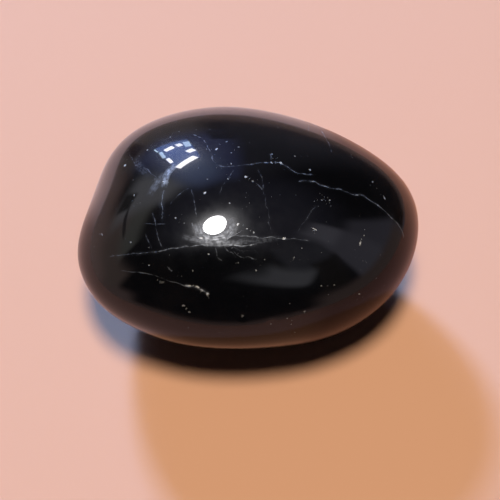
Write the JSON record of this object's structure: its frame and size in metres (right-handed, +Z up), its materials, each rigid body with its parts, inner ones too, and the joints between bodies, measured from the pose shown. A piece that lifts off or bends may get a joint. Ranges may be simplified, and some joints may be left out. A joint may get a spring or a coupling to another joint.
{
  "type": "tumbled tourmaline stone",
  "caption": "Thumb-sized tumbled pebble of polished black tourmaline with fine pale fractures; rests on a flat worn spot.",
  "frame": {"origin": "under the middle of the pebble's box, on the surface that it rests on", "axes": "+X along the pebble's length towards its narrow end, +Y across it, +Z up out of the resting surface"},
  "size_m": [0.0358, 0.0278, 0.0218],
  "materials": {
    "tourmaline": "polished"
  },
  "bodies": {
    "root": {"stone": "tourmaline"}
  },
  "joints": []
}
